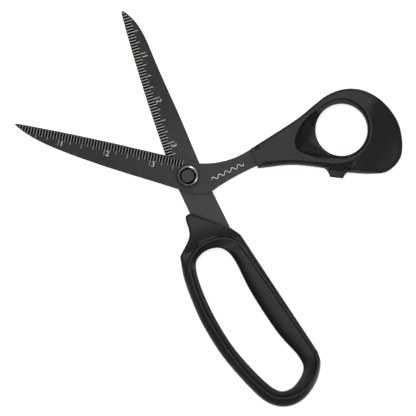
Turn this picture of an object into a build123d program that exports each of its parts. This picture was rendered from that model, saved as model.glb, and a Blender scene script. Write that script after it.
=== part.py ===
from build123d import *
import math
import os

# Bent-handle fabric shears, lying flat and open.
# Frame: millimetres, +Z up along the pivot screw, origin on the pivot axis in the plane that the
# handles rest on, +Y along the cutting edge of the rear blade, towards its tip.
# Each half is drawn with its own +Y towards its own tip, and the front half is turned by OPEN_ANGLE.

os.makedirs("parts", exist_ok=True)

# ---------------------------------------------------------------- driving dimensions
OPEN_ANGLE = 60.42        # turn of the front half from the rear half
BLADE_THICK = 2.4
BLADE_GAP = 0.2           # between the two blades' inner faces
HANDLE_THICK = 14.0
EDGE_BEVEL_WIDE = 0.9     # ground bevel along the cutting edge, on the outer face
EDGE_BEVEL_DEEP = 2.15
HANDLE_ROUND = 3.6        # rounding of the handles' outer edges
LONG_RIM = 50.0           # only rims longer than this are rounded
LINER_SKIN = 1.2          # liner thickness at the wall of a finger opening
CORE_LOW = 4.4            # the hard rib inside a liner runs from here
CORE_HIGH = HANDLE_THICK - CORE_LOW
FINGER_LINER_DROP = 0.5   # how far the finger liner lies below the handle's faces
ANCHOR_RADIUS = 1.8       # holes in the tangs that the plastic fills

THUMB_HOLE_RADIUS = 14.15
THUMB_HOLE_CENTRE = (42.2, -76.2)
SCOOP_FLOOR = 3.6         # half thickness of the thumb liner at the bottom of its scoop
SCOOP_START = 50.0        # from the pivot, where the scoop begins
SCOOP_END = 94.0          # and where it has run out
SCOOP_RUN_OUT = 0.2       # what it still takes off there
THUMB_SPAN = 80.0         # wide enough to cut right across the thumb handle
LUG_LOW = 3.2             # height range of the closing stop
LUG_HIGH = 10.8

SHANK_RADIUS = 2.5        # pivot screw shank
BUSH_RADIUS = 3.5
BUSH_CLEARANCE = 0.04
SPACER_RADIUS = 6.0
FLAT_WASHER_RADIUS = 6.5
FLAT_WASHER_THICK = 0.7
DISH_RADIUS = 5.5
DISH_THICK = 0.5
DISH_RIM = 0.35           # height of the raised rim
DISH_RIM_WIDE = 0.25
DISH_CORNER = 0.3         # bevel under the dish's outer edge
HEAD_RADIUS = 4.6
HEAD_TOP_RADIUS = 3.35
HEAD_TALL = 2.5
HEAD_SIDE = 0.7           # upright part of the head's side, below its cone
SCREW_END_BEVEL = 0.3
REAR_WASHER_RADIUS = 6.0
REAR_WASHER_THICK = 0.8
SPRING_RADIUS = 4.4
SPRING_THICK = 1.0
SPRING_SLIT = 0.9
SPRING_SLIT_TURN = 20.0
NUT_ACROSS_FLATS = 8.0
NUT_CHAMFER = 0.35
NUT_RECESS = 0.3          # the screw's end lies this far inside the nut
SLIDE_CLEARANCE = 0.05    # between the turning blade and what it slides on

# ---------------------------------------------------------------- heights
MID_Z = HANDLE_THICK / 2
REAR_TOP = MID_Z - BLADE_GAP / 2
REAR_BOTTOM = REAR_TOP - BLADE_THICK
FRONT_BOTTOM = MID_Z + BLADE_GAP / 2
FRONT_TOP = FRONT_BOTTOM + BLADE_THICK
FLAT_WASHER_LOW = FRONT_TOP + SLIDE_CLEARANCE
DISH_LOW = FLAT_WASHER_LOW + FLAT_WASHER_THICK
HEAD_LOW = DISH_LOW + DISH_THICK
HEAD_HIGH = HEAD_LOW + HEAD_TALL
REAR_WASHER_LOW = REAR_BOTTOM - REAR_WASHER_THICK
SPRING_LOW = REAR_WASHER_LOW - SPRING_THICK

rear_base = Plane.XY
front_base = Plane(
    origin=(0, 0, 0),
    x_dir=(math.cos(math.radians(OPEN_ANGLE)), math.sin(math.radians(OPEN_ANGLE)), 0),
    z_dir=(0, 0, 1),
)

# ---------------------------------------------------------------- closed curves, in each half's XY
FINGER_HOLE = [
    (0.9, -41.4), (6.7, -43.6), (10.6, -51.0), (14.0, -70.5), (21.0, -95.0), (28.2, -111.3),
    (28.1, -119.8), (19.0, -126.8), (9.6, -123.2), (-2.2, -100.7), (-8.3, -80.0), (-11.0, -60.0),
    (-10.2, -47.4), (-5.5, -42.6),
]
FINGER_SEAM = [
    (2.0, -37.9), (12.3, -40.8), (18.4, -52.6), (25.2, -72.4), (32.9, -98.0), (37.2, -113.5),
    (32.6, -125.4), (19.2, -131.7), (8.8, -127.0), (-2.5, -106.8), (-10.0, -84.0), (-13.3, -57.0),
    (-11.8, -45.8), (-5.0, -39.4),
]
THUMB_SEAM = [
    (57.8, -70.7), (50.2, -61.8), (40.9, -55.1), (31.5, -52.8), (25.5, -57.1), (24.6, -69.0),
    (28.4, -84.2), (42.6, -92.3), (55.4, -86.2), (59.0, -78.0),
]


def grown(points, distance):
    """Move each point of a clockwise closed curve outwards."""
    moved = []
    for i, (x, y) in enumerate(points):
        before = points[i - 1]
        after = points[(i + 1) % len(points)]
        run = math.dist(before, after)
        moved.append((x - distance * (after[1] - before[1]) / run,
                      y + distance * (after[0] - before[0]) / run))
    return moved


def smooth_shape(points):
    """The face inside the smooth closed curve through some points."""
    with BuildSketch() as shape:
        with BuildLine():
            Spline(*points, periodic=True)
        make_face()
    return shape.sketch


def bevel_cutter(face_plane, outward, edge_points):
    """What the grinding wheel takes off a blade's outer face along its cutting edge."""
    with BuildPart() as cutter:
        with BuildLine(face_plane) as edge_line:
            ThreePointArc(*edge_points)
        with BuildSketch(Plane(edge_line.line @ 0, x_dir=outward, z_dir=edge_line.line % 0)):
            with BuildLine():
                Polyline((-1.3 * EDGE_BEVEL_WIDE, -0.3 * EDGE_BEVEL_DEEP),
                         (0.3 * EDGE_BEVEL_WIDE, 1.3 * EDGE_BEVEL_DEEP),
                         (EDGE_BEVEL_WIDE, -0.5 * EDGE_BEVEL_DEEP), close=True)
            make_face()
        sweep()
    return cutter.part


def export(piece, name):
    """Label one finished piece and write its file."""
    piece.part.label = name
    export_step(piece.part, f"parts/{name}.step")


def long_rims(shape):
    """The long edges round the top and the bottom of a handle."""
    rims = ShapeList()
    for height in (0, HANDLE_THICK):
        rims += shape.edges().filter_by_position(Axis.Z, height, height)
    return rims.filter_by(lambda rim: rim.length > LONG_RIM)


# ---------------------------------------------------------------- rear blade and its tang
with BuildPart() as rear_blade:
    with BuildSketch(rear_base.offset(REAR_BOTTOM)):
        with BuildLine():
            ThreePointArc((-8.1, 14.0), (-8.9, 55.0), (-8.0, 95.3))
            Line((-8.0, 95.3), (-6.9, 96.3))
            Spline((-6.9, 96.3), (-2.6, 89.6), (1.6, 67.0), (5.6, 32.1), (8.2, 4.7))
            Polyline((8.2, 4.7), (10.3, -12.0), (13.6, -32.6), (12.2, -35.4), (-5.6, -35.4),
                     (-4.9, -19.7), (-6.9, -5.5), (-8.1, 14.0))
        make_face()
    extrude(amount=BLADE_THICK)
    add(bevel_cutter(rear_base.offset(REAR_BOTTOM), -rear_base.x_dir,
                     ((-8.1, 14.0), (-8.9, 55.0), (-7.8, 98.0))), mode=Mode.SUBTRACT)
    with Locations((0, 0, REAR_TOP)):
        Hole(radius=SHANK_RADIUS)
    with Locations((-0.8, -30.5, REAR_TOP), (7.2, -31.5, REAR_TOP)):
        Hole(radius=ANCHOR_RADIUS)
export(rear_blade, "rear_blade")

# ---------------------------------------------------------------- front blade, its neck and tang
front_top_plane = front_base.offset(FRONT_TOP)
with BuildPart() as front_blade:
    with BuildSketch(front_base.offset(FRONT_BOTTOM)):
        with BuildLine():
            ThreePointArc((8.4, 14.1), (9.0, 55.0), (8.3, 96.6))
            Line((8.3, 96.6), (7.4, 97.8))
            Spline((7.4, 97.8), (2.3, 85.5), (-1.6, 66.9), (-5.0, 39.0), (-8.1, 3.3))
            Line((-8.1, 3.3), (-8.2, -7.2))
            ThreePointArc((-8.2, -7.2), (-6.6, -12.4), (-2.5, -17.1))
            Spline((-2.5, -17.1), (4.5, -24.5), (13.4, -35.6))
            Polyline((13.4, -35.6), (18.4, -50.6), (25.0, -49.2), (21.3, -30.0))
            Spline((21.3, -30.0), (12.3, -17.8), (8.1, -4.8))
            Line((8.1, -4.8), (8.4, 14.1))
        make_face()
    extrude(amount=BLADE_THICK)
    add(bevel_cutter(front_top_plane, front_base.x_dir,
                     ((8.4, 14.1), (9.0, 55.0), (8.1, 99.2))), mode=Mode.SUBTRACT)
    with Locations(front_top_plane):
        Hole(radius=BUSH_RADIUS)
        with Locations((20.5, -43.5)):
            Hole(radius=ANCHOR_RADIUS)
export(front_blade, "front_blade")

# ---------------------------------------------------------------- finger handle and its liner
with BuildPart() as finger_liner_core:
    with BuildSketch(rear_base.offset(CORE_LOW)):
        add(smooth_shape(FINGER_SEAM))
    extrude(amount=CORE_HIGH - CORE_LOW)
    with BuildSketch(rear_base.offset(CORE_LOW)):
        add(smooth_shape(grown(FINGER_HOLE, LINER_SKIN)))
    extrude(amount=CORE_HIGH - CORE_LOW, mode=Mode.SUBTRACT)

with BuildPart() as finger_handle:
    with BuildSketch(rear_base):
        with BuildLine():
            Line((13.8, -33.5), (-4.9, -19.7))
            ThreePointArc((-4.9, -19.7), (-7.3, -20.3), (-8.1, -22.4))
            Spline((-8.1, -22.4), (-9.0, -31.5), (-17.0, -40.4))
            Spline((-17.0, -40.4), (-18.5, -53.0), (-15.6, -82.0), (0.7, -124.6), (17.0, -135.5),
                   (32.0, -128.4), (39.0, -114.5), (37.9, -108.2),
                   tangents=((-0.25, -1.0), (-0.28, 0.96)))
            Line((37.9, -108.2), (18.6, -41.4))
            ThreePointArc((18.6, -41.4), (16.7, -37.2), (13.8, -33.5))
        make_face()
    extrude(amount=HANDLE_THICK)
    fillet(long_rims(finger_handle), radius=HANDLE_ROUND)
    with BuildSketch(rear_base):
        add(smooth_shape(FINGER_SEAM))
    extrude(amount=HANDLE_THICK, mode=Mode.SUBTRACT)
    add(finger_liner_core.part)
    add(rear_blade.part, mode=Mode.SUBTRACT)
export(finger_handle, "finger_handle")

with BuildPart() as finger_grip_liner:
    with BuildSketch(rear_base.offset(FINGER_LINER_DROP)):
        add(smooth_shape(FINGER_SEAM))
        add(smooth_shape(FINGER_HOLE), mode=Mode.SUBTRACT)
    extrude(amount=HANDLE_THICK - 2 * FINGER_LINER_DROP)
    add(finger_liner_core.part, mode=Mode.SUBTRACT)
export(finger_grip_liner, "finger_grip_liner")

# ---------------------------------------------------------------- thumb handle and its liner
with BuildPart() as thumb_liner_core:
    with BuildSketch(front_base.offset(CORE_LOW)):
        add(smooth_shape(THUMB_SEAM))
        with Locations(THUMB_HOLE_CENTRE):
            Circle(THUMB_HOLE_RADIUS + LINER_SKIN, mode=Mode.SUBTRACT)
    extrude(amount=CORE_HIGH - CORE_LOW)

with BuildPart() as thumb_handle:
    with BuildSketch(front_base):
        with BuildLine():
            Line((21.7, -30.2), (12.2, -36.6))
            Spline((12.2, -36.6), (17.6, -53.0), (19.6, -68.0), (20.0, -82.0), (22.4, -97.7),
                   (26.4, -106.4), (36.6, -110.9), (52.0, -105.8), (62.5, -93.4), (65.5, -79.0),
                   (59.4, -65.2), (42.4, -50.9), (21.7, -30.2))
        make_face()
    extrude(amount=HANDLE_THICK)
    fillet(long_rims(thumb_handle), radius=HANDLE_ROUND)
    with BuildSketch(front_base.offset(LUG_LOW)):
        with BuildLine():
            Polyline((24.0, -72.0), (18.6, -72.0), (15.9, -75.7), (16.6, -82.6), (19.4, -85.0),
                     (24.0, -86.0), (24.0, -72.0))
        make_face()
    extrude(amount=LUG_HIGH - LUG_LOW)
    with BuildSketch(front_base):
        add(smooth_shape(THUMB_SEAM))
    extrude(amount=HANDLE_THICK, mode=Mode.SUBTRACT)
    add(thumb_liner_core.part)
    add(front_blade.part, mode=Mode.SUBTRACT)
export(thumb_handle, "thumb_handle")

# The thumb liner's top falls in a shallow scoop towards the shank, and its underside mirrors it.
with BuildPart() as thumb_grip_liner:
    with BuildSketch(front_base):
        add(smooth_shape(THUMB_SEAM))
        with Locations(THUMB_HOLE_CENTRE):
            Circle(THUMB_HOLE_RADIUS, mode=Mode.SUBTRACT)
    extrude(amount=HANDLE_THICK)
    side_view = Plane((0, 0, 0), x_dir=-front_base.y_dir, z_dir=front_base.x_dir)
    for sign in (1, -1):
        floor_z = MID_Z + sign * SCOOP_FLOOR
        run_out_z = MID_Z + sign * (MID_Z - SCOOP_RUN_OUT)
        outside_z = MID_Z + sign * (MID_Z + 1)
        with BuildSketch(side_view):
            with BuildLine():
                ThreePointArc((SCOOP_START, floor_z), (63.0, floor_z + sign * 0.3),
                              (SCOOP_END, run_out_z))
                Polyline((SCOOP_END, run_out_z), (SCOOP_END, outside_z),
                         (SCOOP_START, outside_z), (SCOOP_START, floor_z))
            make_face()
        extrude(amount=THUMB_SPAN, mode=Mode.SUBTRACT)
    add(thumb_liner_core.part, mode=Mode.SUBTRACT)
export(thumb_grip_liner, "thumb_grip_liner")

# ---------------------------------------------------------------- pivot hardware, from the top down
with BuildPart() as pivot_screw:
    with BuildSketch(Plane.XZ):
        with BuildLine():
            Polyline((0, NUT_RECESS), (SHANK_RADIUS - SCREW_END_BEVEL, NUT_RECESS),
                     (SHANK_RADIUS, NUT_RECESS + SCREW_END_BEVEL), (SHANK_RADIUS, HEAD_LOW),
                     (HEAD_RADIUS, HEAD_LOW), (HEAD_RADIUS, HEAD_LOW + HEAD_SIDE),
                     (HEAD_TOP_RADIUS, HEAD_HIGH), (0, HEAD_HIGH), (0, NUT_RECESS))
        make_face()
    revolve(axis=Axis.Z)
export(pivot_screw, "pivot_screw")

with BuildPart() as head_washer:
    with BuildSketch(Plane.XZ):
        with BuildLine():
            Polyline((SHANK_RADIUS, DISH_LOW), (DISH_RADIUS - DISH_CORNER, DISH_LOW),
                     (DISH_RADIUS, DISH_LOW + DISH_CORNER), (DISH_RADIUS, HEAD_LOW + DISH_RIM),
                     (DISH_RADIUS - DISH_RIM_WIDE, HEAD_LOW + DISH_RIM), (HEAD_RADIUS, HEAD_LOW),
                     (SHANK_RADIUS, HEAD_LOW), (SHANK_RADIUS, DISH_LOW))
        make_face()
    revolve(axis=Axis.Z)
export(head_washer, "head_washer")

with BuildPart() as front_washer:
    with BuildSketch(Plane.XY.offset(FLAT_WASHER_LOW)):
        Circle(FLAT_WASHER_RADIUS)
        Circle(SHANK_RADIUS, mode=Mode.SUBTRACT)
    extrude(amount=FLAT_WASHER_THICK)
export(front_washer, "front_washer")

with BuildPart() as pivot_bush:
    with BuildSketch(Plane.XY.offset(FRONT_BOTTOM)):
        Circle(BUSH_RADIUS)
        Circle(SHANK_RADIUS + BUSH_CLEARANCE, mode=Mode.SUBTRACT)
    extrude(amount=BLADE_THICK)
export(pivot_bush, "pivot_bush")

with BuildPart() as blade_spacer:
    with BuildSketch(Plane.XY.offset(REAR_TOP)):
        Circle(SPACER_RADIUS)
        Circle(SHANK_RADIUS, mode=Mode.SUBTRACT)
    extrude(amount=BLADE_GAP - SLIDE_CLEARANCE)
export(blade_spacer, "blade_spacer")

with BuildPart() as rear_washer:
    with BuildSketch(Plane.XY.offset(REAR_WASHER_LOW)):
        Circle(REAR_WASHER_RADIUS)
        Circle(SHANK_RADIUS, mode=Mode.SUBTRACT)
    extrude(amount=REAR_WASHER_THICK)
export(rear_washer, "rear_washer")

with BuildPart() as spring_washer:
    with BuildSketch(Plane.XY.offset(SPRING_LOW)):
        Circle(SPRING_RADIUS)
        Circle(SHANK_RADIUS, mode=Mode.SUBTRACT)
        with Locations((SPRING_RADIUS, 0)):
            Rectangle(SPRING_RADIUS * 1.2, SPRING_SLIT, rotation=SPRING_SLIT_TURN,
                      mode=Mode.SUBTRACT)
    extrude(amount=SPRING_THICK)
export(spring_washer, "spring_washer")

with BuildPart() as pivot_nut:
    with BuildSketch(Plane.XY):
        RegularPolygon(radius=NUT_ACROSS_FLATS / 2, side_count=6, major_radius=False)
    extrude(amount=SPRING_LOW)
    chamfer(pivot_nut.faces().sort_by(Axis.Z)[0].edges(), length=NUT_CHAMFER)
    Hole(radius=SHANK_RADIUS)
export(pivot_nut, "pivot_nut")
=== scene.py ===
import math

import bmesh
import bpy
import numpy as np
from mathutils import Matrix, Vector


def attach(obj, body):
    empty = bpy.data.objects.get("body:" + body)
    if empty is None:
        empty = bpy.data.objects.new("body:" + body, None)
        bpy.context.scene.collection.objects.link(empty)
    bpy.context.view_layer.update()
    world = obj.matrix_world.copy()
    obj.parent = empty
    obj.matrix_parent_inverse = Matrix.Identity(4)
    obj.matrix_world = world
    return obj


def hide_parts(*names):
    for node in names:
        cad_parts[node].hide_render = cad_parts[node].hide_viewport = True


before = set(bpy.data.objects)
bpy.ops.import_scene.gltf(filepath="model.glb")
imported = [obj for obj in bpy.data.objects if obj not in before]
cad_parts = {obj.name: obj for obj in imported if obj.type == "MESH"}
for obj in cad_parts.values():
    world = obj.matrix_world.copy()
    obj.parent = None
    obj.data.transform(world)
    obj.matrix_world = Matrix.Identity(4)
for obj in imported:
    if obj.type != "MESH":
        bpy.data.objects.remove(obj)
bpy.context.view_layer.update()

# Row frame in metres: +Z along the pivot screw, origin on its axis in the rest plane, +Y along the
# rear blade's cutting edge. Outlines are written in millimetres, each in its half's own XY.
MM = 0.001
OPEN_ANGLE = math.radians(60.42)
FINGER = "finger_half"
THUMB = "thumb_half"
MID_Z = 7.0
HALF_THICK = 7.0
REAR_FACE = 6.9
FRONT_FACE = 9.5


# ---------------------------------------------------------------- numbers and curves
def smooth_loop(points, per_span=24):
    """A closed Catmull-Rom curve through some points."""
    p = np.array(points, float)
    n = len(p)
    t = np.linspace(0, 1, per_span, endpoint=False)[:, None]
    spans = []
    for i in range(n):
        a, b, c, d = p[i - 1], p[i], p[(i + 1) % n], p[(i + 2) % n]
        spans.append(0.5 * (2 * b + (c - a) * t + (2 * a - 5 * b + 4 * c - d) * t**2
                            + (3 * b - a - 3 * c + d) * t**3))
    return np.vstack(spans)


def smooth_run(points, per_span=24):
    """An open Catmull-Rom curve through some points, without its last point."""
    p = np.array(points, float)
    ends = np.vstack([2 * p[0] - p[1], p, 2 * p[-1] - p[-2]])
    t = np.linspace(0, 1, per_span, endpoint=False)[:, None]
    spans = []
    for i in range(1, len(ends) - 2):
        a, b, c, d = ends[i - 1:i + 3]
        spans.append(0.5 * (2 * b + (c - a) * t + (2 * a - 5 * b + 4 * c - d) * t**2
                            + (3 * b - a - 3 * c + d) * t**3))
    return np.vstack(spans)


def polar(curve, centre):
    """A closed curve as (sorted angles, radii) about a centre that sees all of it."""
    v = curve - centre
    angle = np.arctan2(v[:, 1], v[:, 0])
    order = np.argsort(angle)
    return angle[order], np.hypot(v[:, 0], v[:, 1])[order]


def radius_at(polar_curve, angle):
    """The radius of a polar curve at some angles."""
    return np.interp(angle, polar_curve[0], polar_curve[1], period=2 * math.pi)


def distance_to(curve, points):
    """The distance from each point to a closed curve given as a dense polyline."""
    a = curve
    b = np.roll(curve, -1, axis=0)
    ab = b - a
    length2 = (ab**2).sum(1) + 1e-12
    result = np.empty(len(points))
    for start in range(0, len(points), 2000):
        p = points[start:start + 2000]
        ap = p[:, None, :] - a[None]
        t = np.clip((ap * ab[None]).sum(2) / length2[None], 0, 1)
        gap = ap - t[..., None] * ab[None]
        result[start:start + 2000] = np.sqrt((gap**2).sum(2).min(1))
    return result


def ramp(x, low, high):
    """0 below low, 1 above high, smooth between."""
    t = np.clip((x - low) / (high - low), 0, 1)
    return t * t * (3 - 2 * t)


def shoulder(distance, radius, depth):
    """How far a rounded edge has dropped, at some distances from it."""
    inside = np.clip(1 - distance / radius, 0, 1)
    return depth * (1 - np.sqrt(1 - inside**2))


def place(points, half):
    """Millimetres in a half's own frame to metres in the row frame."""
    p = np.array(points, float) * MM
    if half == THUMB:
        c, s = math.cos(OPEN_ANGLE), math.sin(OPEN_ANGLE)
        p[:, :2] = p[:, :2] @ np.array([[c, s], [-s, c]])
    return p


def make_mesh(name, points, faces, half, material, smooth_angle=40):
    """A mesh piece that rides on a half."""
    mesh = bpy.data.meshes.new(name)
    mesh.from_pydata([tuple(p) for p in place(points, half)], [], faces)
    mesh.validate()
    work = bmesh.new()
    work.from_mesh(mesh)
    bmesh.ops.recalc_face_normals(work, faces=work.faces)
    work.to_mesh(mesh)
    work.free()
    mesh.materials.append(material)
    for face in mesh.polygons:
        face.use_smooth = True
    mesh.set_sharp_from_angle(angle=math.radians(smooth_angle))
    piece = bpy.data.objects.new(name, mesh)
    bpy.context.scene.collection.objects.link(piece)
    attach(piece, half)
    return piece


# ---------------------------------------------------------------- materials
def new_material(name, color, roughness, metallic=0.0, specular=0.5):
    material = bpy.data.materials.new(name)
    material.use_nodes = True
    nodes = material.node_tree.nodes
    shader = nodes["Principled BSDF"]
    shader.inputs["Base Color"].default_value = (*color, 1)
    shader.inputs["Roughness"].default_value = roughness
    shader.inputs["Metallic"].default_value = metallic
    shader.inputs["Specular IOR Level"].default_value = specular
    return material, nodes, material.node_tree.links, shader


def add_noise(nodes, links, scale, detail=3, stretch=(1, 1, 1)):
    """Noise in the row frame, scale in cells per metre, stretched along an axis."""
    where = nodes.new("ShaderNodeTexCoord")
    mapping = nodes.new("ShaderNodeMapping")
    mapping.inputs["Scale"].default_value = stretch
    noise = nodes.new("ShaderNodeTexNoise")
    noise.inputs["Scale"].default_value = scale
    noise.inputs["Detail"].default_value = detail
    links.new(where.outputs["Object"], mapping.inputs["Vector"])
    links.new(mapping.outputs["Vector"], noise.inputs["Vector"])
    return noise


def add_bump(nodes, links, shader, height, strength, distance):
    bump = nodes.new("ShaderNodeBump")
    bump.inputs["Strength"].default_value = strength
    bump.inputs["Distance"].default_value = distance
    links.new(height, bump.inputs["Height"])
    links.new(bump.outputs["Normal"], shader.inputs["Normal"])
    return bump


def vary(nodes, links, source, low, high, target):
    """Spread a texture's middle range over low..high, into a shader input."""
    spread = nodes.new("ShaderNodeMapRange")
    spread.inputs["From Min"].default_value = 0.3
    spread.inputs["From Max"].default_value = 0.7
    spread.inputs["To Min"].default_value = low
    spread.inputs["To Max"].default_value = high
    links.new(source, spread.inputs["Value"])
    links.new(spread.outputs["Result"], target)


def mix_colors(nodes, links, source, low, high, target):
    mix = nodes.new("ShaderNodeMix")
    mix.data_type = "RGBA"
    mix.inputs[6].default_value = (*low, 1)
    mix.inputs[7].default_value = (*high, 1)
    links.new(source, mix.inputs[0])
    links.new(mix.outputs[2], target)


def blade_coating(name, angle, handle_end):
    """Charcoal coating over ground steel: fine grinding lines run across the blade, and a ramp along the
    blade multiplies the base colour: a little lighter towards the handle, darker towards the tip."""
    material, nodes, links, shader = new_material(name, (0.015, 0.016, 0.015), 0.42, 0.0, 0.12)
    where = nodes.new("ShaderNodeTexCoord")
    turn = nodes.new("ShaderNodeMapping")
    turn.inputs["Rotation"].default_value = (0, 0, -angle)
    stretch = nodes.new("ShaderNodeMapping")
    stretch.inputs["Scale"].default_value = (0.05, 1, 1)
    grain = nodes.new("ShaderNodeTexNoise")
    grain.inputs["Scale"].default_value = 2600
    grain.inputs["Detail"].default_value = 2
    links.new(where.outputs["Object"], turn.inputs["Vector"])
    links.new(turn.outputs["Vector"], stretch.inputs["Vector"])
    links.new(stretch.outputs["Vector"], grain.inputs["Vector"])
    cloud = add_noise(nodes, links, 60)
    vary(nodes, links, grain.outputs["Fac"], 0.36, 0.5, shader.inputs["Roughness"])
    axes = nodes.new("ShaderNodeSeparateXYZ")
    links.new(turn.outputs["Vector"], axes.inputs["Vector"])
    # A ramp along the blade multiplies the base colour: lighter towards the handle, darker towards the
    # tip.
    fade = nodes.new("ShaderNodeMapRange")
    fade.interpolation_type = "SMOOTHSTEP"
    fade.inputs["From Min"].default_value = -0.03
    fade.inputs["From Max"].default_value = 0.055
    fade.inputs["To Min"].default_value = handle_end
    fade.inputs["To Max"].default_value = 0.6
    links.new(axes.outputs["Y"], fade.inputs["Value"])
    tone = nodes.new("ShaderNodeMix")
    tone.data_type = "RGBA"
    tone.blend_type = "MULTIPLY"
    tone.inputs[0].default_value = 1.0
    links.new(fade.outputs["Result"], tone.inputs[7])
    mix_colors(nodes, links, cloud.outputs["Fac"], (0.013, 0.014, 0.0135), (0.017, 0.018, 0.017),
               tone.inputs[6])
    links.new(tone.outputs[2], shader.inputs["Base Color"])
    add_bump(nodes, links, shader, grain.outputs["Fac"], 0.5, 0.00003)
    return material


def moulded_plastic(name, low, high, roughness, grain_scale, grain_depth, strength=0.5):
    """Black moulded plastic with a fine even texture."""
    material, nodes, links, shader = new_material(name, low, roughness, 0.0, 0.13)
    grain = add_noise(nodes, links, grain_scale, 2)
    cloud = add_noise(nodes, links, 45, 4)
    mix_colors(nodes, links, cloud.outputs["Fac"], low, high, shader.inputs["Base Color"])
    vary(nodes, links, grain.outputs["Fac"], roughness - 0.06, roughness + 0.08,
         shader.inputs["Roughness"])
    add_bump(nodes, links, shader, grain.outputs["Fac"], strength, grain_depth)
    return material


def turned_metal(name, color, roughness, metallic, specular=0.5):
    """Metal turned on the pivot axis: fine rings about it."""
    material, nodes, links, shader = new_material(name, color, roughness, metallic, specular)
    where = nodes.new("ShaderNodeTexCoord")
    rings = nodes.new("ShaderNodeTexWave")
    rings.wave_type = "RINGS"
    rings.rings_direction = "Z"
    rings.inputs["Scale"].default_value = 1500
    rings.inputs["Distortion"].default_value = 0.4
    links.new(where.outputs["Object"], rings.inputs["Vector"])
    cloud = add_noise(nodes, links, 500)
    vary(nodes, links, cloud.outputs["Fac"], roughness * 0.85, roughness * 1.15,
         shader.inputs["Roughness"])
    add_bump(nodes, links, shader, rings.outputs["Fac"], 0.15, 0.00001)
    return material


def faced_screw(name):
    """A black screw that reflects more on surfaces turned up than on its steep cone: the flat top comes
    out paler than the cone round it.
    """
    material = turned_metal(name, (0.004, 0.0044, 0.0044), 0.3, 0.0, 0.13)
    nodes = material.node_tree.nodes
    links = material.node_tree.links
    shader = nodes["Principled BSDF"]
    where = nodes.new("ShaderNodeTexCoord")
    axes = nodes.new("ShaderNodeSeparateXYZ")
    # Reflection strength rises with how far each surface faces up.
    facing = nodes.new("ShaderNodeMapRange")
    facing.inputs["From Min"].default_value = 0.7
    facing.inputs["From Max"].default_value = 0.98
    facing.inputs["To Min"].default_value = 0.045
    facing.inputs["To Max"].default_value = 0.16
    links.new(where.outputs["Normal"], axes.inputs["Vector"])
    links.new(axes.outputs["Z"], facing.inputs["Value"])
    links.new(facing.outputs["Result"], shader.inputs["Specular IOR Level"])
    return material


def print_ink(name, color):
    """Pale printed ink, slightly uneven."""
    material, nodes, links, shader = new_material(name, color, 0.55, 0.0, 0.2)
    cloud = add_noise(nodes, links, 2500)
    darker = tuple(c * 0.8 for c in color)
    mix_colors(nodes, links, cloud.outputs["Fac"], darker, color, shader.inputs["Base Color"])
    vary(nodes, links, cloud.outputs["Fac"], 0.5, 0.65, shader.inputs["Roughness"])
    return material


def dark_field(name):
    """The matt dark band under the ruler's marks, with a fine speckle."""
    material, nodes, links, shader = new_material(name, (0.003, 0.003, 0.003), 0.7, 0.0, 0.02)
    speckle = add_noise(nodes, links, 3000)
    mix_colors(nodes, links, speckle.outputs["Fac"], (0.0022, 0.0022, 0.0022),
               (0.004, 0.0042, 0.004), shader.inputs["Base Color"])
    vary(nodes, links, speckle.outputs["Fac"], 0.62, 0.78, shader.inputs["Roughness"])
    add_bump(nodes, links, shader, speckle.outputs["Fac"], 0.3, 0.00001)
    return material


front_steel = blade_coating("front_coating", OPEN_ANGLE, 1.6)
rear_steel = blade_coating("rear_coating", 0.0, 2.1)
shell_plastic = moulded_plastic("shell_plastic", (0.0095, 0.0105, 0.0105), (0.012, 0.013, 0.013), 0.38,
                                2400, 0.00009, 0.7)
liner_rubber = moulded_plastic("liner_rubber", (0.006, 0.0068, 0.0068), (0.008, 0.0088, 0.0088), 0.38,
                               3000, 0.00005, 0.6)
screw_black = faced_screw("screw_black")
washer_black = turned_metal("washer_black", (0.01, 0.011, 0.011), 0.42, 0.0, 0.07)
washer_bright = turned_metal("washer_bright", (0.72, 0.73, 0.71), 0.3, 1.0)
spring_steel = turned_metal("spring_steel", (0.4, 0.41, 0.42), 0.35, 1.0)
bush_brass = turned_metal("bush_brass", (0.62, 0.48, 0.22), 0.3, 1.0)
spacer_white = moulded_plastic("spacer_white", (0.7, 0.7, 0.68), (0.76, 0.76, 0.74), 0.4, 3000,
                               0.00001)
rear_ink = print_ink("rear_ink", (0.36, 0.36, 0.33))
front_ink = print_ink("front_ink", (0.2, 0.205, 0.18))
numeral_ink = print_ink("numeral_ink", (0.5, 0.5, 0.47))
field_black = dark_field("field_black")
motif_ink = print_ink("motif_ink", (0.7, 0.7, 0.68))

for node, material in {
    "front_blade": front_steel,
    "rear_blade": rear_steel,
    "pivot_screw": screw_black,
    "pivot_nut": screw_black,
    "head_washer": washer_bright,
    "front_washer": washer_black,
    "rear_washer": washer_black,
    "spring_washer": spring_steel,
    "pivot_bush": bush_brass,
    "blade_spacer": spacer_white,
}.items():
    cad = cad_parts[node]
    cad.data.materials.clear()
    cad.data.materials.append(material)

# ---------------------------------------------------------------- outlines, mm in each half's XY
FINGER_HOLE = smooth_loop([
    (0.9, -41.4), (6.7, -43.6), (10.6, -51.0), (14.0, -70.5), (21.0, -95.0), (28.2, -111.3),
    (28.1, -119.8), (19.0, -126.8), (9.6, -123.2), (-2.2, -100.7), (-8.3, -80.0), (-11.0, -60.0),
    (-10.2, -47.4), (-5.5, -42.6),
])
FINGER_SEAM = smooth_loop([
    (5.1, -37.8), (10.6, -39.5), (14.4, -42.6), (17.0, -47.6), (19.3, -55.3), (22.0, -63.7),
    (25.9, -75.9), (30.8, -92.0), (35.6, -107.4), (36.9, -114.3), (35.8, -119.3), (32.5, -124.3),
    (27.1, -128.3), (20.9, -130.3), (14.7, -130.1), (10.0, -128.2), (5.8, -123.5), (-0.4, -112.8),
    (-5.7, -99.8), (-9.9, -85.6), (-12.9, -71.5), (-13.9, -58.5), (-13.2, -48.4), (-11.3, -44.0),
    (-7.5, -40.5), (-1.7, -38.1),
])
FINGER_CENTRE = np.array([8.5, -85.0])
FINGER_CORNERS = [(13.8, -33.5), (-4.9, -19.7), (-17.0, -40.4)]
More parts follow.
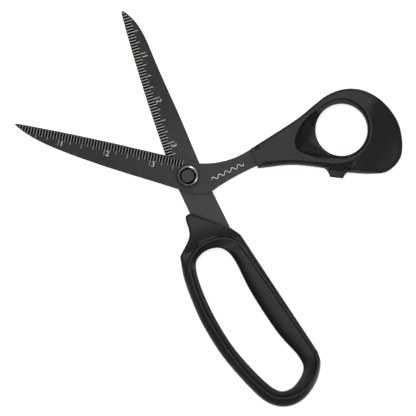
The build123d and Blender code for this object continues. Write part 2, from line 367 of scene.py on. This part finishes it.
FINGER_OUTER = np.vstack([
    smooth_run([(13.8, -33.5), (-4.9, -19.7)]),
    smooth_run([(-4.9, -19.7), (-7.3, -20.3), (-8.1, -22.4), (-9.0, -31.5), (-17.0, -40.4)]),
    smooth_run([(-17.0, -40.4), (-18.5, -53.0), (-17.6, -69.7), (-15.4, -83.4), (-9.9, -102.2),
                (0.7, -124.6), (8.3, -133.0), (17.0, -135.5), (25.8, -133.2), (34.0, -126.4),
                (38.4, -118.6), (38.9, -113.0), (37.9, -108.2), (28.3, -75.0), (18.9, -42.2),
                (17.4, -38.2), (13.8, -33.5)]),
])
THUMB_CENTRE = np.array([42.2, -76.2])
TURN = np.linspace(0, 2 * math.pi, 240, endpoint=False)
THUMB_HOLE = THUMB_CENTRE + 14.15 * np.column_stack([np.cos(TURN), np.sin(TURN)])
THUMB_SEAM = smooth_loop([
    (58.2, -70.7), (54.2, -64.8), (46.1, -57.6), (38.3, -53.7), (31.5, -52.7), (27.8, -54.1),
    (25.8, -57.1), (24.6, -66.5), (25.3, -75.8), (28.4, -83.4), (33.2, -88.6), (39.1, -91.2),
    (46.1, -90.9), (52.5, -88.0), (56.9, -83.1), (58.9, -76.7),
])
THUMB_CORNERS = [(21.7, -30.2), (12.2, -36.6)]
THUMB_OUTER = np.vstack([
    smooth_run([(21.7, -30.2), (12.2, -36.6)]),
    smooth_run([(12.2, -36.6), (17.6, -53.0), (19.6, -68.0), (20.0, -82.0), (22.4, -97.7),
                (26.4, -106.4), (36.6, -110.9), (52.0, -105.8), (62.5, -93.4), (65.5, -79.0),
                (59.4, -65.2), (42.4, -50.9), (21.7, -30.2)]),
])


def ray_angles(outer, centre, corners, count):
    """Angles whose rays meet the outline at even steps, the corners included."""
    closed = np.vstack([outer, outer[:1]])
    run = np.concatenate([[0], np.cumsum(np.hypot(*np.diff(closed, axis=0).T))])
    wanted = np.linspace(0, run[-1], count, endpoint=False)
    x = np.interp(wanted, run, closed[:, 0]) - centre[0]
    y = np.interp(wanted, run, closed[:, 1]) - centre[1]
    angles = np.arctan2(y, x)
    for corner in corners:
        exact = math.atan2(corner[1] - centre[1], corner[0] - centre[0])
        gap = np.abs((angles - exact + math.pi) % (2 * math.pi) - math.pi)
        angles[gap.argmin()] = exact
    return np.sort(angles)


def ring_piece(name, inner, outer, centre, angles, shares, height, wall, half, material):
    """A closed ring between two curves: a top of rings at some shares of the width from inner to
    outer, its mirror image below, and straight walls between them with some steps."""
    inner_r = radius_at(polar(inner, centre), angles)
    outer_r = radius_at(polar(outer, centre), angles)
    spoke = np.column_stack([np.cos(angles), np.sin(angles)])
    n = len(angles)
    share = shares(outer_r - inner_r)
    radii = inner_r[None] + share * (outer_r - inner_r)[None]
    flat = centre + radii[..., None] * spoke[None]
    rings = flat.shape[0]
    tall = height(flat.reshape(-1, 2)).reshape(rings, n)
    rows = [np.column_stack([flat[j], MID_Z + tall[j]]) for j in range(rings)]
    for k in range(1, wall):
        t = 1 - 2 * k / wall
        rows.append(np.column_stack([flat[-1], MID_Z + t * tall[-1]]))
    rows += [np.column_stack([flat[j], MID_Z - tall[j]]) for j in reversed(range(rings))]
    for k in range(1, wall):
        t = -1 + 2 * k / wall
        rows.append(np.column_stack([flat[0], MID_Z + t * tall[0]]))
    total = len(rows)
    faces = []
    for j in range(total):
        below = (j + 1) % total
        for i in range(n):
            beside = (i + 1) % n
            faces.append((j * n + i, j * n + beside, below * n + beside, below * n + i))
    return make_mesh(name, np.vstack(rows), faces, half, material)


def edge_steps(width, inner_steps, outer_steps, middle):
    """Ring places as shares of a width: steps in mm near both edges, even ones between."""
    need = inner_steps[-1] + outer_steps[-1]
    squeeze = np.minimum(1.0, 0.9 * width / need)
    rows = [step * squeeze / width for step in inner_steps]
    low = rows[-1]
    high = 1 - outer_steps[-1] * squeeze / width
    rows += [low + (high - low) * (k + 1) / (middle + 1) for k in range(middle)]
    rows += [1 - step * squeeze / width for step in reversed(outer_steps)]
    return np.array(rows)


ROUND_STEPS = [0.0, 0.04, 0.15, 0.34, 0.62, 0.98, 1.4, 1.9, 2.5, 3.2]
SEAM_STEPS = [0.0, 0.05, 0.15, 0.3, 0.5, 0.75, 1.05, 1.5]
HOLE_STEPS = [0.0, 0.04, 0.15, 0.35, 0.65, 1.0]
SHELL_RINGS = 14
LINER_RINGS = 9
WALL_STEPS = 6


def shell_steps(width):
    return edge_steps(width, SEAM_STEPS, ROUND_STEPS, SHELL_RINGS)


# ---------------------------------------------------------------- finger handle
HOLE_TOP = (-2.0, -41.0)      # the finger opening's middle line starts here
HOLE_LEAN = -0.29             # and leans by this much in x for each step in y
CREST = 0.95                  # width of the crest beside the seam
HEAD_DIP = 2.7                # how far the head dips towards the seam
LEFT_DROP = 2.8               # how far the bow's left side and end fall to the edge


def right_side(p):
    """1 on the finger bow's right limb, where the liner is broad and proud, 0 elsewhere."""
    from_line = (p[:, 0] - HOLE_TOP[0]) - (p[:, 1] - HOLE_TOP[1]) * HOLE_LEAN
    beside = ramp(from_line, 0.0, 5.0)
    return beside * ramp(p[:, 1], -124.0, -112.0) * (1 - ramp(p[:, 1], -48.0, -42.0))


def finger_shell_height(p):
    """A crest along the seam; outside it the bow falls away, and the head dips towards it."""
    to_edge = distance_to(FINGER_OUTER, p)
    to_seam = distance_to(FINGER_SEAM, p)
    right = right_side(p)
    head = ramp(p[:, 1], -54.0, -37.0)
    width = np.maximum(to_edge + to_seam, 1.5)
    beyond = np.clip((to_seam - CREST) / (width - CREST), 0, 1)**1.1
    dip = HEAD_DIP * np.clip((-26.0 - p[:, 1]) / 14.0, 0, 1)**1.8 * ramp(to_seam, 0.9, 1.7)
    right_drop = 0.35 + 1.2 * ramp(p[:, 1], -80.0, -44.0)
    drop = head * dip + (1 - head) * (LEFT_DROP * (1 - right) + right_drop * right) * beyond
    return HALF_THICK - drop - shoulder(to_edge, 1.5, 1.7) - shoulder(to_seam, 0.2, 0.25)


def finger_liner_height(p):
    """Broad and proud on the right limb, a lower rim with a groove beside the seam elsewhere."""
    to_seam = distance_to(FINGER_SEAM, p)
    to_hole = distance_to(FINGER_HOLE, p)
    share = to_seam / (to_seam + to_hole)
    right = right_side(p)
    broad = HALF_THICK - 1.3 * share**2.2 - 1.2 * share**7 - shoulder(to_seam, 0.5, 0.7)
    broad -= shoulder(to_hole, 0.6, 0.8)
    top = ramp(p[:, 1], -50.0, -43.0)
    narrow = HALF_THICK - 1.4 - 0.5 * (1 - share)**2 * (1 - top) - 1.0 * share * top
    narrow -= shoulder(to_hole, 0.3, 0.35)
    return right * broad + (1 - right) * narrow


finger_angles = ray_angles(FINGER_OUTER, FINGER_CENTRE, FINGER_CORNERS, 420)
finger_shell = ring_piece(
    "finger_shell", FINGER_SEAM, FINGER_OUTER, FINGER_CENTRE, finger_angles,
    shell_steps, finger_shell_height, WALL_STEPS, FINGER, shell_plastic)
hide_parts("finger_handle")
finger_liner = ring_piece(
    "finger_liner", FINGER_HOLE, FINGER_SEAM, FINGER_CENTRE, finger_angles,
    lambda w: edge_steps(w, HOLE_STEPS, SEAM_STEPS, LINER_RINGS),
    finger_liner_height, WALL_STEPS, FINGER, liner_rubber)
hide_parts("finger_grip_liner")


# ---------------------------------------------------------------- thumb handle
JOINT_END = np.array([12.2, -36.6])        # the joint with the steel starts at this corner
ALONG_SHANK = np.array([0.559, -0.829])    # square to the joint, away from the steel
RIM_REACH = 16.6                           # the hole's seam lies this far from its centre
END_WIDE = 21.0                            # from that seam to the bow's far edge
BEVEL_DEEP = 2.3                           # bevel along the lower side
BEVEL_WIDE = 2.6
END_FALL = 5.0                             # how far the bow's end drops at its edge
RIGHT_FALL = 1.6
LUG_ROOT = np.array([20.05, -84.6])        # a crease runs from here up to the hole's rim
CREASE_NORMAL = np.array([0.361, 0.933])   # across the crease, towards the shank
CREST_WIDE = 1.9                           # flat crest between the seam and the slope to the lug
LUG_SLOPE = 0.36


def thumb_shell_height(p):
    """Flat on the shank, falling away beyond the hole, with a bevel along the lower side that
    widens above the lug and ends at a crease."""
    to_edge = distance_to(THUMB_OUTER, p)
    to_seam = distance_to(THUMB_SEAM, p)
    from_joint = (p - JOINT_END) @ ALONG_SHANK
    beside = ramp(from_joint - to_edge, 0.2, 2.0)
    lower = (1 - ramp(p[:, 0], 21.0, 25.0)) * beside
    bevel = BEVEL_DEEP * lower * np.clip(1 - to_edge / BEVEL_WIDE, 0, 1)**1.1
    out = p - THUMB_CENTRE
    reach = np.hypot(out[:, 0], out[:, 1])
    far = np.clip((reach - RIM_REACH) / END_WIDE, 0, 1)
    start = 0.28 + 0.27 * ramp(out[:, 0] / reach, -0.5, 0.2)
    end_side = ramp(-out[:, 1] / reach, start, start + 0.45)
    right_side_of_end = ramp((0.75 * out[:, 0] - 0.66 * out[:, 1]) / reach, 0.5, 0.95)
    fall = END_FALL * end_side * (1 - (1 - far)**2) + RIGHT_FALL * right_side_of_end * far**2
    past_crease = -(p - LUG_ROOT) @ CREASE_NORMAL
    near_lug = 1 - ramp(p[:, 0], 29.0, 34.0)
    above_lug = (1 - ramp(past_crease, -0.8, 0.2)) * ramp(-p[:, 1], 62.0, 72.0) * near_lug
    fall *= 1 - 0.6 * near_lug * (1 - ramp(past_crease, 0.0, 4.5))
    slope = LUG_SLOPE * np.clip(to_seam - CREST_WIDE, 0, None) * above_lug
    fall = fall * (1 - above_lug) + slope
    bevel = bevel * (1 - 0.7 * above_lug)
    edge = 0.2 + 1.1 * beside - 0.6 * ramp(-out[:, 1] / reach, 0.35, 0.6)
    ease = 0.35 * beside * np.clip(1 - to_edge / 3.0, 0, 1)**2
    return (HALF_THICK - fall - bevel - ease - shoulder(to_edge, edge, 1.15 * edge)
            - shoulder(to_seam, 0.2, 0.25))


def thumb_liner_height(p):
    """A deep crescent scoop on the shank's side of the hole, a low rim round the rest."""
    to_seam = distance_to(THUMB_SEAM, p)
    to_hole = distance_to(THUMB_HOLE, p)
    width = to_seam + to_hole
    share = to_seam / width
    out = p - THUMB_CENTRE
    towards_shank = (out @ np.array([-0.707, 0.707])) / np.hypot(out[:, 0], out[:, 1])
    deep = ramp(towards_shank, 0.15, 0.95)
    scoop = 0.3 + 4.2 * (1 - (1 - share)**2.4)
    rim = 0.8 + 0.35 * (1 - share)**2
    return HALF_THICK - deep * scoop - (1 - deep) * rim - shoulder(to_hole, 0.35, 0.4)


def prism(outline, low, high, rounding):
    """A prism with rounded long edges, as mesh points and faces."""
    ring = np.array(outline, float)
    middle = ring.mean(0)
    inward = (middle - ring) / np.linalg.norm(middle - ring, axis=1)[:, None]
    rows = []
    for angle in np.radians([0, 30, 60, 90]):
        shift = rounding * (1 - math.sin(angle))
        rows.append((ring + inward * shift, high - rounding * (1 - math.cos(angle))))
    rows += [(flat, low + high - z) for flat, z in reversed(rows)]
    points = np.vstack([np.column_stack([flat, np.full(len(flat), z)]) for flat, z in rows])
    n = len(ring)
    faces = [tuple(range(n)), tuple(range((len(rows) - 1) * n, len(rows) * n))[::-1]]
    for j in range(len(rows) - 1):
        for i in range(n):
            beside = (i + 1) % n
            faces.append((j * n + i, (j + 1) * n + i, (j + 1) * n + beside, j * n + beside))
    return points, faces


thumb_angles = ray_angles(THUMB_OUTER, THUMB_CENTRE, THUMB_CORNERS, 380)
thumb_shell = ring_piece(
    "thumb_shell", THUMB_SEAM, THUMB_OUTER, THUMB_CENTRE, thumb_angles,
    shell_steps, thumb_shell_height, WALL_STEPS, THUMB, shell_plastic)
LUG_LOW = 3.2
LUG_HIGH = 10.8
LUG_ROUND = 0.7
LUG = np.vstack([
    smooth_run([(25.0, -67.0), (20.9, -69.6), (19.0, -73.2), (15.9, -75.7)], 8),
    smooth_run([(15.9, -75.7), (16.6, -82.6)], 8),
    smooth_run([(16.6, -82.6), (18.9, -83.2), (21.2, -85.0), (25.0, -87.5)], 8),
    [(25.0, -87.5)],
])
lug_points, lug_faces = prism(LUG, LUG_LOW, LUG_HIGH, LUG_ROUND)
thumb_lug = make_mesh("thumb_lug", lug_points, lug_faces, THUMB, shell_plastic)
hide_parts("thumb_handle")
thumb_liner = ring_piece(
    "thumb_liner", THUMB_HOLE, THUMB_SEAM, THUMB_CENTRE, thumb_angles,
    lambda w: edge_steps(w, HOLE_STEPS + [1.5], SEAM_STEPS, LINER_RINGS),
    thumb_liner_height, WALL_STEPS, THUMB, liner_rubber)
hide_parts("thumb_grip_liner")

# ---------------------------------------------------------------- pivot washer
def turned(name, profile, centre, half, material, count=96):
    """A ring turned about an upright axis from a closed (radius, height) profile."""
    turn = np.linspace(0, 2 * math.pi, count, endpoint=False)
    points = [(centre[0] + r * math.cos(a), centre[1] + r * math.sin(a), z)
              for r, z in profile for a in turn]
    n = len(profile)
    faces = [(j * count + i, j * count + (i + 1) % count,
              (j + 1) % n * count + (i + 1) % count, (j + 1) % n * count + i)
             for j in range(n) for i in range(count)]
    return make_mesh(name, points, faces, half, material)


WASHER_SHIFT = (0.42, 0.12)       # the loose washer's hole is wide, and it has slid to one side
head_washer = turned("bevelled_washer",
                     [(3.0, 10.27), (5.3, 10.27), (5.3, 10.36), (5.24, 10.43), (4.55, 10.83),
                      (4.4, 10.74), (3.0, 10.74)],
                     WASHER_SHIFT, FINGER, washer_bright)
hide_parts("head_washer")

# ---------------------------------------------------------------- printing
INCH = 25.4
INK_TALL = 0.03
MARK_WIDE = 0.42
FRONT_TIP = 97.8
REAR_TIP = 96.3


def box_mesh(quads, low, high):
    """Closed low boxes over some quads, as points and faces."""
    points, faces = [], []
    for quad in quads:
        n = len(points)
        points += [(x, y, low) for x, y in quad] + [(x, y, high) for x, y in quad]
        faces += [(n, n + 3, n + 2, n + 1), (n + 4, n + 5, n + 6, n + 7)]
        faces += [(n + i, n + (i + 1) % 4, n + 4 + (i + 1) % 4, n + 4 + i) for i in range(4)]
    return points, faces


def tick_length(count):
    """A ruler mark's length: the inch longest, then half, quarter, eighth and sixteenth."""
    for step, length in ((16, 6.9), (8, 6.1), (4, 5.3), (2, 4.2)):
        if count % step == 0:
            return length
    return 3.6


def ruler(name, half, face, tip, last, edge_at, spine_at, inward, start, ink):
    """Sixteenths of an inch counted from the tip, drawn inward from the cutting edge on a darker
    field that fills the gaps between them."""
    marks, gaps = [], []
    for count in range(1, last + 1):
        y = tip - count * INCH / 16
        begin = edge_at(y) + inward * start
        room = abs(spine_at(y) - begin) - 0.5
        ends = sorted([begin, begin + inward * min(tick_length(count), room)])
        marks.append([(ends[0], y - MARK_WIDE / 2), (ends[1], y - MARK_WIDE / 2),
                      (ends[1], y + MARK_WIDE / 2), (ends[0], y + MARK_WIDE / 2)])
        ends = sorted([begin, begin + inward * min(tick_length(count), tick_length(count + 1),
                                                   room)])
        low = y - INCH / 16 + MARK_WIDE / 2
        if count < last:
            gaps.append([(ends[0], low), (ends[1], low), (ends[1], y - MARK_WIDE / 2),
                         (ends[0], y - MARK_WIDE / 2)])
    points, faces = box_mesh(gaps, face - INK_TALL, face + INK_TALL / 2)
    make_mesh(name + "_field", points, faces, half, field_black)
    points, faces = box_mesh(marks, face - INK_TALL, face + INK_TALL)
    make_mesh(name, points, faces, half, ink)


def curve_through(points):
    """x along y through some (x, y) points."""
    p = np.array(sorted(points, key=lambda q: q[1]), float)
    return lambda y: float(np.interp(y, p[:, 1], p[:, 0]))


front_edge = curve_through([(8.4, 14.1), (8.85, 34.5), (9.0, 55.0), (8.82, 76.0), (8.3, 96.6)])
front_spine = curve_through([(7.4, 97.8), (4.7, 92.0), (2.3, 85.5), (-1.6, 66.9), (-5.0, 39.0),
                             (-8.1, 3.3)])
rear_edge = curve_through([(-8.1, 14.0), (-8.7, 34.5), (-8.9, 55.0), (-8.67, 75.0), (-8.0, 95.3)])
rear_spine = curve_through([(-6.9, 96.3), (-2.6, 89.6), (1.6, 67.0), (5.6, 32.1), (8.2, 4.7)])
ruler("front_ruler", THUMB, FRONT_FACE, FRONT_TIP, 59, front_edge, front_spine, -1, 0.55, front_ink)
ruler("rear_ruler", FINGER, REAR_FACE, REAR_TIP, 58, rear_edge, rear_spine, 1, 0.15, rear_ink)


NUMERAL_HIGH = 2.9
CAPITAL_SHARE = 0.72      # height of a numeral in a font of size 1


def lettering(name, word, middle, face, half, ink):
    """A raised numeral that reads from the tip towards the pivot, its top towards +X."""
    text = bpy.data.curves.new(name + "_text", "FONT")
    text.body = word
    text.size = 1.0
    text.align_x = "CENTER"
    text.align_y = "CENTER"
    text.extrude = INK_TALL / NUMERAL_HIGH / CAPITAL_SHARE
    holder = bpy.data.objects.new(name + "_text", text)
    bpy.context.scene.collection.objects.link(holder)
    bpy.context.view_layer.update()
    mesh = bpy.data.meshes.new_from_object(holder.evaluated_get(
        bpy.context.evaluated_depsgraph_get()))
    bpy.data.objects.remove(holder)
    bpy.data.curves.remove(text)
    points = np.array([v.co[:] for v in mesh.vertices])
    faces = [tuple(f.vertices) for f in mesh.polygons]
    bpy.data.meshes.remove(mesh)
    points[:, :2] -= (points[:, :2].max(0) + points[:, :2].min(0)) / 2
    grow = NUMERAL_HIGH / np.ptp(points[:, 1])
    sideways = np.column_stack([middle[0] + grow * points[:, 1], middle[1] - grow * points[:, 0],
                                face + grow * points[:, 2]])
    make_mesh(name, sideways, faces, half, ink)


NUMERAL_PAST_MARK = 1.9
NUMERAL_FROM_EDGE = 6.1
for number in (1, 2, 3):
    below_tip = number * INCH + NUMERAL_PAST_MARK
    front_y = FRONT_TIP - below_tip
    lettering(f"front_numeral_{number}", str(number),
              (front_edge(front_y) - NUMERAL_FROM_EDGE, front_y), FRONT_FACE, THUMB, numeral_ink)
    rear_y = REAR_TIP - below_tip
    lettering(f"rear_numeral_{number}", str(number),
              (rear_edge(rear_y) + NUMERAL_FROM_EDGE, rear_y), REAR_FACE, FINGER, numeral_ink)

# A stitched wave on the neck, a plain decoration.
WAVE_START = (1.0, -13.2)
WAVE_RUN = (12.0, -15.0)
WAVE_SWING = (0.7, 0.56)
WAVE_COUNT = 5
STITCH_WIDE = 0.3
wave_t = np.linspace(0, 1, 121)
swing = np.sin(wave_t * WAVE_COUNT * 2 * math.pi)
wave_x = WAVE_START[0] + WAVE_RUN[0] * wave_t + WAVE_SWING[0] * swing
wave_y = WAVE_START[1] + WAVE_RUN[1] * wave_t + WAVE_SWING[1] * swing
wave = np.column_stack([wave_x, wave_y])
ahead = np.gradient(wave, axis=0)
beside = np.column_stack([-ahead[:, 1], ahead[:, 0]]) / np.linalg.norm(ahead, axis=1)[:, None]
left = wave + STITCH_WIDE / 2 * beside
right = wave - STITCH_WIDE / 2 * beside
stitches = [[tuple(right[i]), tuple(right[i + 1]), tuple(left[i + 1]), tuple(left[i])]
            for i in range(len(wave) - 1)]
wave_points, wave_faces = box_mesh(stitches, FRONT_FACE - INK_TALL, FRONT_FACE + INK_TALL)
make_mesh("neck_stitch", wave_points, wave_faces, THUMB, motif_ink)

# ---------------------------------------------------------------- floor, light, camera
floor_material, floor_nodes, floor_links, floor_shader = new_material("floor", (0.9, 0.9, 0.9), 0.8)
floor_shader.inputs["Emission Color"].default_value = (1, 1, 1, 1)
floor_shader.inputs["Emission Strength"].default_value = 0.55
paper_grain = add_noise(floor_nodes, floor_links, 900)
add_bump(floor_nodes, floor_links, floor_shader, paper_grain.outputs["Fac"], 0.1, 0.00005)
bpy.ops.mesh.primitive_plane_add(size=6, location=(0, 0, 0))
floor = bpy.context.object
floor.name = "floor"
floor.data.materials.append(floor_material)


def area_light(name, place_at, target, size, power):
    light = bpy.data.lights.new(name, "AREA")
    light.shape = "DISK"
    light.size = size
    light.energy = power
    lamp = bpy.data.objects.new(name, light)
    bpy.context.scene.collection.objects.link(lamp)
    lamp.location = place_at
    lamp.visible_camera = False
    lamp.rotation_euler = (Vector(target) - Vector(place_at)).to_track_quat("-Z", "Y").to_euler()


VIEW_TURN = math.radians(17.36)      # the camera is turned clockwise about its view by this much
VIEW_WIDE = 0.2256
VIEW_RIGHT = Vector((math.cos(VIEW_TURN), -math.sin(VIEW_TURN), 0))
VIEW_UP = Vector((math.sin(VIEW_TURN), math.cos(VIEW_TURN), 0))
MIDDLE = Vector((0.00535, -0.0198, 0))
area_light("overhead", MIDDLE + Vector((0, 0, 1.4)) - 0.12 * VIEW_RIGHT + 0.16 * VIEW_UP, MIDDLE,
           1.25, 19)
area_light("side", MIDDLE + Vector((0, 0, 0.6)) + 0.9 * VIEW_RIGHT - 0.5 * VIEW_UP, MIDDLE, 0.5, 1.2)
area_light("back", MIDDLE + Vector((0, 0, 0.55)) + 0.3 * VIEW_RIGHT + 0.9 * VIEW_UP, MIDDLE, 0.35, 2.4)
world = bpy.data.worlds.new("studio")
bpy.context.scene.world = world
world.use_nodes = True
world.node_tree.nodes["Background"].inputs["Color"].default_value = (1, 1, 1, 1)
world.node_tree.nodes["Background"].inputs["Strength"].default_value = 0.18

camera_data = bpy.data.cameras.new("camera")
camera_data.lens = 400
camera_data.sensor_width = 36
camera = bpy.data.objects.new("camera", camera_data)
bpy.context.scene.collection.objects.link(camera)
camera.location = MIDDLE + Vector((0, 0, VIEW_WIDE * camera_data.lens / camera_data.sensor_width + 0.008))
camera.rotation_euler = (0, 0, -VIEW_TURN)
bpy.context.scene.camera = camera
bpy.context.scene.view_settings.view_transform = "Standard"
